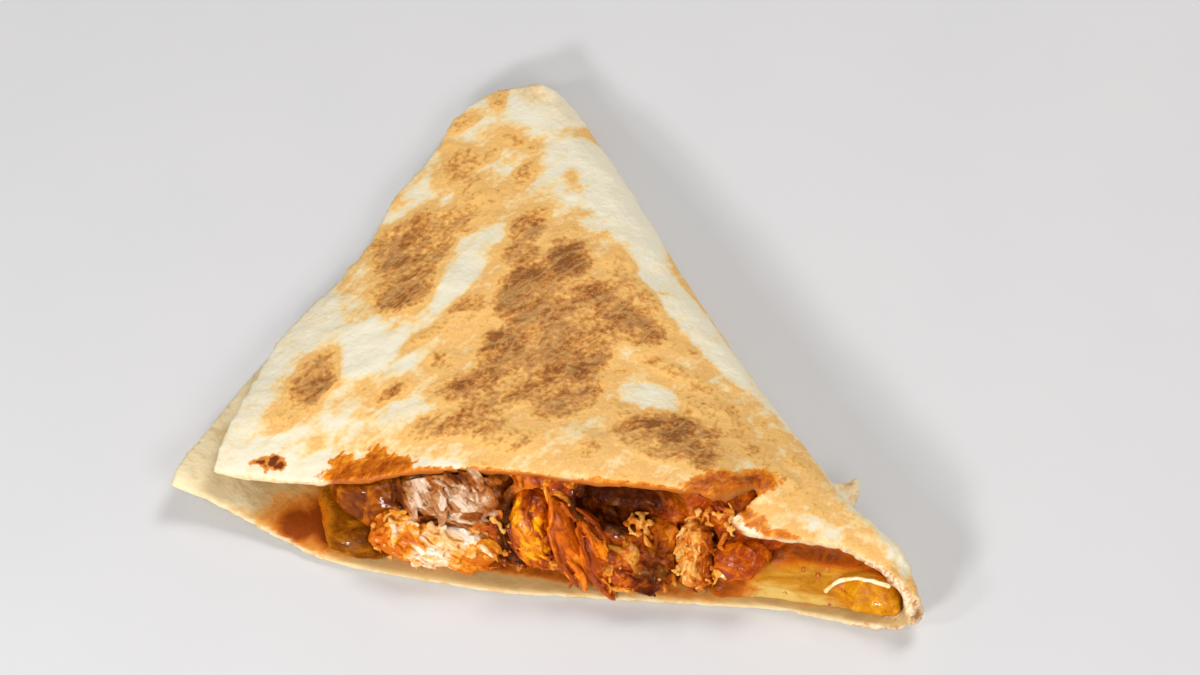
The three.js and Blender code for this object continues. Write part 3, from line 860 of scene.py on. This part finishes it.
def strand(name, length, width, thickness, bow, steps=6):
    """A strand along z, bowed to one side by bow mm, with tapered, closed ends."""
    bpy.ops.mesh.primitive_circle_add(vertices=6, radius=0.5 * MM, fill_type="NGON", location=(0, 0, 0))
    piece = bpy.context.object
    piece.name = name
    bpy.ops.object.mode_set(mode="EDIT")
    bpy.ops.mesh.select_all(action="SELECT")
    end = (END_GIRTH * width, END_GIRTH * thickness, 1)
    bpy.ops.transform.resize(value=end, center_override=(0, 0, 0))
    bpy.ops.transform.translate(value=(0, 0, -length / 2 * MM))
    girth, aside = END_GIRTH, 0
    for i in range(1, steps + 1):
        along = 2 * i / steps - 1
        wanted = math.sqrt(1.1 - along**2) / 1.05
        sway = bow * math.cos(along * math.pi / 2)
        bpy.ops.mesh.extrude_region_move(
            TRANSFORM_OT_translate={"value": ((sway - aside) * MM, 0, length / steps * MM)}
        )
        centre = (sway * MM, 0, along * length / 2 * MM)
        bpy.ops.transform.resize(value=(wanted / girth, wanted / girth, 1), center_override=centre)
        girth, aside = wanted, sway
    bpy.ops.mesh.select_all(action="SELECT")
    bpy.ops.mesh.normals_make_consistent(inside=False)
    bpy.ops.object.mode_set(mode="OBJECT")
    return piece


def crumb(name, size, unevenness, seed):
    """A nugget, pushed out of round by unevenness times its size."""
    bpy.ops.mesh.primitive_ico_sphere_add(subdivisions=2, radius=size / 2 * MM, location=(0, 0, 0))
    piece = bpy.context.object
    piece.name = name
    bpy.ops.object.mode_set(mode="EDIT")
    bpy.ops.transform.vertex_random(offset=unevenness * size * MM, uniform=0.3, normal=0.3, seed=seed)
    bpy.ops.object.mode_set(mode="OBJECT")
    return piece


FIBRE = strand("fibre", length=7, width=0.8, thickness=0.6, bow=0.7)
STRAND = strand("strand", length=9, width=1.6, thickness=1.1, bow=1)
FLAKE = strand("flake", length=9, width=3.6, thickness=1.3, bow=1.2)
SHRED = strand("shred", length=4, width=0.9, thickness=0.55, bow=0.9)
SCRAP = strand("scrap", length=4, width=1.6, thickness=1.2, bow=0.9)
CRUMB = crumb("crumb", size=1.8, unevenness=0.22, seed=3)
BEAD = crumb("bead", size=1, unevenness=0.04, seed=5)
PATTERNS = [FIBRE, STRAND, FLAKE, SHRED, SCRAP, CRUMB, BEAD]

# %% [markdown]
# ### Strewing and fusing
#
# Each copy sits on a random face of the body, and larger faces get more of them. It is turned into the
# face's plane and along the grain, give or take some degrees, because torn fibres never lie quite parallel.
# Once the voxel remesh has fused copies and body, nothing tells them apart. So the copies are kept until
# then, and each vertex of the fused piece asks them how near they are.


# %% Strew copies over a body, and fuse them with it
def near(*centre, reach):
    """A test for the faces near a place, in mm, that don't face backwards."""
    return lambda at, normal: (at - Vector(centre)).length < reach and normal.y < 0.5


def strewn(core, pattern, count, where, grain=None, spread=180, rise=0, lift=0.0, sizes=(0.8, 1.25)):
    """Copies a pattern on to random faces of a body, those for which where is true. It lies along the grain,
    within spread degrees, or any way round, tipped up to rise degrees out of the face and lift mm above it.
    Each copy has a tone of its own, a random number for its shade."""
    faces = [f for f in core.data.polygons if where(f.center / MM, f.normal)]
    made = []
    for face in random.choices(faces, weights=[f.area for f in faces], k=count):
        out = face.normal.copy()
        along = Vector(grain) if grain else Vector(random.gauss(0, 1) for _ in range(3))
        along = (along - out * along.dot(out)).normalized()
        along.rotate(Quaternion(out, math.radians(random.uniform(-spread, spread))))
        across = out.cross(along)
        along.rotate(Quaternion(across, -math.radians(random.uniform(0, rise))))
        turned = Matrix((across, along.cross(across), along)).transposed().to_4x4()
        piece = twin(pattern, "strewn")
        store(piece, "tone", np.full(len(piece.data.vertices), random.random()))
        place = Matrix.Translation(face.center + out * lift * MM)
        piece.data.transform(place @ turned @ Matrix.Scale(random.uniform(*sizes), 4))
        made.append(piece)
    return made


def joined(first, others):
    """Joins some objects into the first one."""
    alone(first)
    for piece in others:
        piece.select_set(True)
    bpy.ops.object.join()
    return first


def traced(piece, bits, reach=0.8):
    """Stores how near each place of a fused piece lies to the copies that were strewn on it, from reach on
    one of them down to 0 at reach mm from it, and the tone of the nearest one."""
    corners = [vertex.co for vertex in bits.data.vertices]
    tree = BVHTree.FromPolygons(corners, [face.vertices for face in bits.data.polygons])
    tone = np.empty(len(bits.data.vertices), np.float32)
    bits.data.attributes["tone"].data.foreach_get("value", tone)
    tone_of_face = [tone[face.vertices[0]] for face in bits.data.polygons]
    nearest = [tree.find_nearest(vertex.co) for vertex in piece.data.vertices]
    store(piece, "scrap", [reach - min(reach, found[3] / MM) for found in nearest])
    store(piece, "tone", [tone_of_face[found[2]] for found in nearest])


# %% [markdown]
# ## The sauce
#
# The sauce is a thick tomato and chilli paste, fried in oil, that binds the chicken. It fills what the
# chicken leaves free, so its piece is the imported solid, swollen a little against the other pieces. It is
# made in two parts, because only the part at the cut shows, and deserves a fine mesh.
#
# Short scraps of meat are strewn over the face at the cut and fused with it. They leave out the dark hollow
# under the upper leaf, and the glazed lump at the left, which is smoothed instead. The depth of each hollow
# between the scraps is stored for the colour, and so is what is scrap and what is sauce.


# %% Sauce: its two parts
SWELL = 0.4  # mm
CUT_PLANE = -25  # mm along y. In front of it the sauce shows, and gets a finer mesh.


def sauce_part(name, at_front):
    """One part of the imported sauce, swollen against its neighbours and cut off square to y."""
    piece = copied("sauce", name)
    modify(piece, "SUBSURF", levels=1, render_levels=1)
    modify(piece, "DISPLACE", strength=SWELL * MM, mid_level=0)
    bpy.ops.object.mode_set(mode="EDIT")
    bpy.ops.mesh.select_all(action="SELECT")
    bpy.ops.mesh.bisect(
        plane_co=(0, CUT_PLANE * MM, 0), plane_no=(0, 1, 0), use_fill=True, clear_outer=at_front,
        clear_inner=not at_front,
    )
    bpy.ops.object.mode_set(mode="OBJECT")
    return piece


# %% Sauce: where scraps of meat lie
HOLLOW = {"at": (30, 18.5), "half": (12, 5)}  # the dark hollow under the upper leaf, in x and z
FACE_OF_SAUCE = -30  # mm along y. In front of it lies the face at the cut.


def in_hollow(at):
    """Whether a place lies in the hollow, seen from the front."""
    (x, z), (half_x, half_z) = HOLLOW["at"], HOLLOW["half"]
    return math.hypot((at.x - x) / half_x, (at.z - z) / half_z) < 1


def at_face(at, normal, left, right):
    """Faces of the sauce at the cut between two places along x, outside the hollow."""
    return at.y < FACE_OF_SAUCE and normal.y < 0.6 and left < at.x < right and not in_hollow(at)


def right_of_chunk(at, normal):
    """The face to the right of the pale chunk of chicken."""
    return at_face(at, normal, 3, 47)


def not_glazed(at, normal):
    """All of the face but the glazed lump at the left."""
    return at_face(at, normal, -18, 49)


def low_middle(at, normal):
    """The low part of the face below the dark hollow."""
    return at_face(at, normal, 16, 40) and at.z < 14


# %% Sauce: scraps, fused with it
STEEP = (0.5, -0.4, -0.77)  # most of the meat hangs out of the cut along this slope,
SHALLOW = (0.9, -0.3, -0.3)  # and the flakes low in the middle along this one

random.seed(8)
sauce = sauce_part("sauce_at_cut", True)
scraps = strewn(sauce, CRUMB, 70, right_of_chunk, lift=0.1, sizes=(0.6, 1.6))
scraps += strewn(sauce, STRAND, 40, right_of_chunk, STEEP, spread=40, rise=10, lift=0.1, sizes=(0.4, 0.8))
scraps += strewn(sauce, SHRED, 60, not_glazed, rise=25, lift=0.2, sizes=(0.7, 1.3))
scraps += strewn(sauce, FLAKE, 18, low_middle, SHALLOW, spread=60, rise=8, lift=0.1, sizes=(0.4, 0.8))
scraps = joined(scraps[0], scraps[1:])
joined(sauce, [twin(scraps, "scraps")])
remeshed(sauce, voxel=0.3, rounds=2)
at, _ = places(sauce)
weigh(sauce, "pasty", 0.2 + 0.8 * ramp(at[:, 0], -22, -14))
weigh(sauce, "lump", 1 - ramp(at[:, 0], -20, -15))
smoothed(sauce, rounds=90, group="lump")
relief(sauce, depth=0.9, cell=4.5, seed=8, group="pasty")
relief(sauce, depth=0.5, cell=1.6, seed=9, group="pasty")
relief(sauce, depth=0.2, cell=0.7, seed=10, group="pasty")
traced(sauce, scraps)
bpy.data.objects.remove(scraps)
print("hollows of the sauce:", round(float(hollowness(sauce).std()), 2), "mm")
finished(sauce, "red_sauce", "sauce")

pool = remeshed(sauce_part("sauce_inside", False), voxel=0.8, rounds=3)
relief(pool, depth=0.6, cell=5, seed=8)
finished(pool, "red_sauce", "sauce")

# %% [markdown]
# ### The sauce's finish
#
# The paste is orange on its high places and a very dark red in its cracks. Where a scrap of meat comes
# through, it takes over with a tone of its own. Three amber, glazed places are ellipses, seen from the
# front, and so is the painted shade: a near black red in the dark hollow under the upper leaf and in the
# gaps beside it. The wet look is a thin coat that comes and goes in patches, because one even coat would
# make plastic of it. Only the glaze is evenly wet, and in the painted shade the coat is held back.

# %% Sauce: its glazed places and its painted shade
AMBER_GLAZE = [(-25, 13, 9, 5, 0, 1), (2, 18.5, 5, 3, -20, 0.7), (37, 20.5, 3.6, 2.4, -60, 0.6)]
# Painted shade, seen from the front: the hollow under the upper leaf and the gaps beside it go a near black
# red.
HOLLOW_AND_GAP_SHADE = [
    (27, 18.5, 10.5, 5.6, -4, 1), (7, 12, 4, 7, 0, 0.6), (35, 9, 4, 5, 0, 0.3), (24, 12, 5, 2, 0, 0.2),
]
SHADE_FROM = -34  # mm along y. Behind it the painted shade lightens again,
SHADE_LOSS = 0.1  # by this much for each mm.

at, _ = places(sauce)
seen = at[:, 0], at[:, 2]
behind = np.maximum(at[:, 1] - SHADE_FROM, 0)
store(sauce, "glaze", patches(*seen, AMBER_GLAZE))
store(sauce, "shade", patches(*seen, HOLLOW_AND_GAP_SHADE) - SHADE_LOSS * behind)

# %% Sauce material
red = material("red_sauce")
swirl = clouds(3, 4, 0.6, bend=0.7)
fine = clouds(0.8, 3, 0.6)
wetness = clouds(2.2, 2, 0.5)
paste = scale(
    stored("crevice") + 0.9 * (swirl - 0.5),
    (-0.4, rgb(236, 150, 40)),
    (-0.18, rgb(212, 110, 12)),
    (0.03, rgb(160, 60, 2)),
    (0.26, rgb(80, 24, 1)),
)
meat = scale(
    stored("tone") + 0.8 * (fine - 0.5),
    (0, rgb(232, 172, 70)),
    (0.25, rgb(226, 142, 42)),
    (0.5, rgb(204, 104, 16)),
    (0.8, rgb(160, 66, 4)),
    (1, rgb(112, 40, 2)),
)
honey = scale(swirl, (0.35, rgb(96, 40, 1)), (0.5, rgb(130, 60, 1)), (0.65, rgb(182, 98, 6)))
meaty = step(stored("scrap") - 0.55 + 1.1 * (swirl - 0.5), -0.04, 0.2)
glaze = step(stored("glaze"), -0.3, 0.4)
painted_shade = step(stored("shade") + 0.9 * (swirl - 0.5), -0.3, 0.5)
body = mix(paste, meat, 0.9 * meaty)
body = mix(body, honey, glaze)
# Painted shade: the hollow and the gaps darkened to a near black red.
body = mix(body, rgb(42, 11, 1), 0.92 * painted_shade)
film = 0.1 + 0.5 * step(wetness, 0.52, 0.62) * (1 - glaze) + 0.12 * glaze
surface(
    body,
    roughness=0.06 + 0.3 * fine,
    height=0.5 * swirl + 0.5 * fine,
    depth=0.6,
    Subsurface_Weight=0.08,
    Subsurface_Radius=(1, 0.35, 0.1),
    Subsurface_Scale=0.002,
    Specular_IOR_Level=0.05,
    Coat_Weight=film * (1 - 0.8 * painted_shade),
    Coat_Roughness=0.04,
)
sauce.data.materials.append(red)
pool.data.materials.append(red)
print("sauce finish:", len(red.node_tree.nodes), "nodes")

# %% [markdown]
# ## The chicken
#
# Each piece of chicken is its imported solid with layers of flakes, strands and fibres laid over the side
# that shows and fused with it. Coarse flakes come first and fine fibres last and a little higher, as on torn
# meat. The body is shrunk to make room for them, apart from the two narrow strips, which are swollen.


# %% Chicken pieces
def front(at, normal):
    """Faces that show at the cut."""
    return normal.y < 0.45


def chicken(node, grain, layers, stains_and_shade, seed, voxel=0.27, shrink=0.3):
    """A torn piece. Each layer is a pattern, how many, its spread and rise in degrees, its lift in mm and
    its sizes. The stains, seen from the front, are where sauce has run over it; on the flaked piece one of
    them is painted shadow in a dark gap."""
    random.seed(seed)
    piece = copied(node, node + "_torn")
    modify(piece, "SUBSURF", levels=1, render_levels=1)
    modify(piece, "DISPLACE", strength=-shrink * MM, mid_level=0)
    bits = []
    for pattern, count, spread, rise, lift, sizes in layers:
        bits += strewn(piece, pattern, count, front, grain, spread, rise, lift, sizes)
    bits = joined(bits[0], bits[1:])
    joined(piece, [twin(bits, "bits")])
    remeshed(piece, voxel, rounds=1)
    relief(piece, depth=0.3, cell=(4, 0.7, 0.7), seed=seed, grain=grain)
    traced(piece, bits)
    bpy.data.objects.remove(bits)
    depth = hollowness(piece)
    at, _ = places(piece)
    # Sauce stains, and on the flaked piece one painted shadow.
    store(piece, "stain", ramp(patches(at[:, 0], at[:, 2], stains_and_shade), -0.6, 0.5))
    print(node, "cracks:", round(float(depth.std()), 2), "mm")
    return finished(piece, "cooked_chicken", node)


DOWN_RIGHT = (0.8, -0.35, -0.5)
ACROSS = (0.9, -0.2, -0.3)
flaked = chicken(
    "chicken_flaked",
    DOWN_RIGHT,
    layers=[
        (FLAKE, 74, 24, 24, 0.3, (0.45, 0.85)),
        (STRAND, 34, 25, 20, 0.4, (0.4, 0.8)),
        (FIBRE, 40, 30, 14, 0.6, (0.5, 0.9)),
    ],
    # The first is painted shadow: the dark gap at the piece's lower left, between the glazed lump and the
    # chunk.
    stains_and_shade=[
        (-16.6, 14, 2, 3, 0, 1), (-9, 22.2, 9, 0.8, 0, 0.6), (5, 18, 1.6, 3, -30, 0.9),
        (-8, 12.4, 1.6, 0.8, 0, 0.9),
    ],
    seed=11,
)
chunk = chicken(
    "chicken_chunk",
    ACROSS,
    layers=[
        (FLAKE, 16, 40, 14, 0.1, (0.5, 0.9)),
        (STRAND, 34, 50, 20, 0.3, (0.4, 0.8)),
        (CRUMB, 60, 180, 0, 0.2, (0.7, 1.6)),
        (FIBRE, 70, 45, 20, 0.5, (0.4, 0.9)),
    ],
    stains_and_shade=[
        (-19.5, 6, 3.4, 5, 0, 1), (-12, 1.8, 9, 1.2, 0, 0.9), (1, 4, 4, 4.4, 0, 0.9),
        (-14, 9.6, 3, 1.2, 20, 0.7),
    ],
    seed=21,
)
nugget = chicken(
    "chicken_nugget",
    STEEP,
    layers=[
        (FLAKE, 10, 12, 6, 0.3, (0.8, 1.15)),
        (STRAND, 8, 20, 6, 0.2, (0.5, 0.9)),
        (CRUMB, 22, 180, 0, 0, (0.5, 1.1)),
        (FIBRE, 20, 16, 8, 0.4, (0.5, 0.9)),
    ],
    stains_and_shade=[
        (6.2, 9.6, 1.9, 7, 6, 1), (16.2, 10, 1.5, 8, 20, 0.8), (11, 4.4, 5, 1.4, 0, 0.8),
        (9, 19.6, 3, 0.8, 0, 0.8),
    ],
    seed=31,
)
strips = [
    chicken(
        f"chicken_strip_{number}",
        STEEP,
        layers=[(STRAND, 14, 12, 6, 0.4, (0.8, 1.2)), (FIBRE, 26, 20, 10, 0.6, (0.6, 1.1))],
        stains_and_shade=[(20, 10, 6, 9, 20, 0.1)],
        seed=40 + number,
        shrink=-0.2,
    )
    for number in (1, 2)
]
tuft = chicken(
    "chicken_shred",
    STEEP,
    layers=[
        (SHRED, 90, 60, 35, 0.3, (0.6, 1.2)),
        (CRUMB, 44, 180, 0, 0.3, (0.5, 1.2)),
        (FIBRE, 30, 50, 30, 0.4, (0.4, 0.8)),
    ],
    stains_and_shade=[(46, 12, 2, 8, 0, 0.7), (43, 4, 4, 1.6, 0, 0.6)],
    seed=51,
    voxel=0.25,
    shrink=1.2,
)

# %% [markdown]
# ### The chicken's finishes
#
# All pieces are the same meat in the same sauce, so one function makes every finish. Where meat shows it is
# pale, where the sauce has run over it it is orange, and the cracks between the fibres are darkest. The
# pieces differ in how much sauce they took: each has four shades of its own, from bare to thickly sauced,
# and a colour for its cracks.


# %% Chicken material
def chicken_finish(name, shades, crack, grain, rough, shine):
    """Meat that runs through its four shades. Each strand has a tone of its own, and the sauce has run over
    some places more than others."""
    made = material(name)
    fibres = clouds((4, 0.6, 0.6), 3, 0.6, grain, 0.2)
    spread = clouds(2.6, 4, 0.65, bend=0.5)
    tone = 0.8 * (stored("tone") - 0.5)
    sauced = 0.8 * stored("stain") + tone + 1.8 * (spread - 0.5) + 0.6 * (fibres - 0.5)
    meat = scale(sauced, *zip((-0.35, 0, 0.35, 0.75), shades))
    meat = mix(meat, crack, 0.92 * step(stored("crevice") + 0.4 * (fibres - 0.5), 0, 0.2))
    surface(
        meat,
        roughness=rough + 0.3 * (spread - 0.5),
        height=fibres,
        depth=0.25,
        Subsurface_Weight=0.12,
        Subsurface_Radius=(1, 0.6, 0.4),
        Subsurface_Scale=0.0015,
        Coat_Weight=shine,
        Coat_Roughness=0.06,
        Specular_IOR_Level=0.07,
    )
    return made


WHITE = (rgb(248, 226, 204), rgb(238, 194, 138), rgb(234, 150, 34), rgb(204, 104, 14))
FLAKY = (rgb(224, 194, 168), rgb(182, 132, 88), rgb(162, 86, 22), rgb(94, 38, 3))
GOLDEN = (rgb(252, 182, 18), rgb(230, 134, 8), rgb(188, 84, 3), rgb(122, 42, 1))
RUSTY = (rgb(250, 172, 42), rgb(236, 132, 14), rgb(208, 98, 5), rgb(152, 60, 2))
SHREDDED = (rgb(242, 194, 114), rgb(228, 152, 62), rgb(208, 110, 22), rgb(158, 70, 6))
CRUMBLY = (rgb(238, 176, 88), rgb(220, 138, 48), rgb(194, 98, 18), rgb(144, 60, 5))
FINISHES = [
    # piece, name, shades, colour in the cracks, grain, roughness, shine
    (flaked, "chicken_flakes", FLAKY, rgb(92, 38, 5), DOWN_RIGHT, 0.4, 0.08),
    (chunk, "chicken_white", WHITE, rgb(168, 82, 12), ACROSS, 0.36, 0.1),
    (nugget, "chicken_gold", GOLDEN, rgb(120, 46, 1), STEEP, 0.28, 0.25),
    (strips[0], "chicken_rust", RUSTY, rgb(104, 34, 1), STEEP, 0.26, 0.25),
    (strips[1], "chicken_deep_rust", RUSTY, rgb(90, 28, 1), STEEP, 0.26, 0.25),
    (tuft, "chicken_shreds", SHREDDED, rgb(132, 56, 4), STEEP, 0.4, 0.08),
]
for piece, name, shades, crack, grain, rough, shine in FINISHES:
    piece.data.materials.append(chicken_finish(name, shades, crack, grain, rough, shine))
print(len(FINISHES), "chicken finishes")

# %% [markdown]
# ## Loose shreds, beads of oil and a thread of cheese
#
# The knife leaves small scraps behind: a crossed clump of shreds in the dark hollow, a frayed corner by the
# tear, crumbs beside the golden piece. Beads of red oil stand on the wet face and catch the light, and a
# pulled thread of cheese has dried across the fold. Each kind is one piece, strewn on what carries it.

# %% Loose shreds
CLUMPS = [
    # on what, where in mm, how far it spreads, how many scraps and crumbs
    (sauce, (31, -36, 14.5), 3.4, 14, 8),
    (sauce, (45, -34, 16), 4.6, 18, 16),
    (sauce, (5, -39, 11), 4.5, 8, 16),
    (tuft, (42, -37, 14), 9, 12, 8),
    (chunk, (-19, -41, 6), 5, 4, 14),
]

random.seed(61)
loose = []
for carrier, centre, reach, scrap_count, crumb_count in CLUMPS:
    spot = near(*centre, reach=reach)
    loose += strewn(carrier, SCRAP, scrap_count, spot, rise=45, lift=0.6, sizes=(0.4, 0.9))
    loose += strewn(carrier, CRUMB, crumb_count, spot, lift=0.4, sizes=(0.35, 0.9))
loose = joined(loose[0], loose[1:])
shreds = remeshed(twin(loose, "loose_shreds"), voxel=0.2, rounds=1)
traced(shreds, loose)
bpy.data.objects.remove(loose)
hollowness(shreds, rounds=8)
store(shreds, "stain", np.zeros(len(shreds.data.vertices)))
shreds.data.materials.append(chicken_finish("chicken_scraps", CRUMBLY, rgb(120, 46, 2), STEEP, 0.36, 0.1))
finished(shreds, "cooked_chicken")

# %% Beads of oil
beads = strewn(sauce, BEAD, 60, right_of_chunk, lift=0.05, sizes=(0.3, 0.9))
beads += strewn(cheese, BEAD, 8, near(64, -37, 9, reach=9), lift=0.05, sizes=(0.4, 1))
beads = joined(beads[0], beads[1:])
beads.name = "oil_beads"
red_oil = material("oil_bead")
surface(
    scale(clouds(2, 2), (0.4, rgb(176, 60, 2)), (0.6, rgb(232, 138, 20))),
    roughness=0.15,
    height=clouds(0.5),
    depth=0.02,
    Coat_Weight=1,
    Coat_Roughness=0.03,
    Specular_IOR_Level=0.4,
)
beads.data.materials.append(red_oil)
finished(beads, "red_sauce")

# %% [markdown]
# The thread is a curve through five points, with a round section. It is made a mesh and remeshed, so that
# relief can make it uneven as a pulled thread is.

# %% A thread of cheese
THREAD = [(68.4, -38.8, 7.2), (70.6, -38, 10.6), (71.6, -37.6, 12.2), (76, -37.6, 12.9), (81, -38.4, 12)]
THREAD_RADIUS = 0.42

bpy.ops.curve.primitive_nurbs_path_add(location=(0, 0, 0))
thread = bpy.context.object
thread.name = "cheese_thread"
spline = thread.data.splines[0]
for point, place in zip(spline.points, THREAD):
    point.co = (*(Vector(place) * MM), 1)
spline.use_endpoint_u = True
thread.data.bevel_depth = THREAD_RADIUS * MM
thread.data.use_fill_caps = True
alone(thread)
bpy.ops.object.convert(target="MESH")
remeshed(thread, voxel=0.2, rounds=2)
relief(thread, depth=0.5, cell=1.6, seed=71)
dried = material("dried_cheese")
surface(
    mix(rgb(250, 228, 182), rgb(240, 194, 122), step(clouds(1.5), 0.4, 0.6)),
    roughness=0.4,
    height=clouds(0.8),
    depth=0.1,
    Subsurface_Weight=0.2,
    Subsurface_Radius=(1, 0.6, 0.2),
    Subsurface_Scale=0.002,
    Coat_Weight=0.2,
)
thread.data.materials.append(dried)
finished(thread, "melted_cheese")

# %% [markdown]
# ## The table
#
# A plain pale floor takes the wedge's shadow. It isn't part of the food.

# %% Floor
FLOOR_SIZE = 6  # m
FLOOR_DROP = 0.2  # mm under the wedge, so that the two faces don't flicker through each other

bpy.ops.mesh.primitive_plane_add(size=FLOOR_SIZE, location=(0, 0, -FLOOR_DROP * MM))
floor = bpy.context.object
floor.name = "floor"
table = material("pale_table")
table_colour = mix(rgb(208, 208, 211), rgb(212, 212, 214), clouds(30, 2))
surface(table_colour, roughness=0.6, height=clouds(2, 2), depth=0.01)
floor.data.materials.append(table)

# %% The end: the patterns are cleared away
for pattern in PATTERNS:
    bpy.data.objects.remove(pattern)
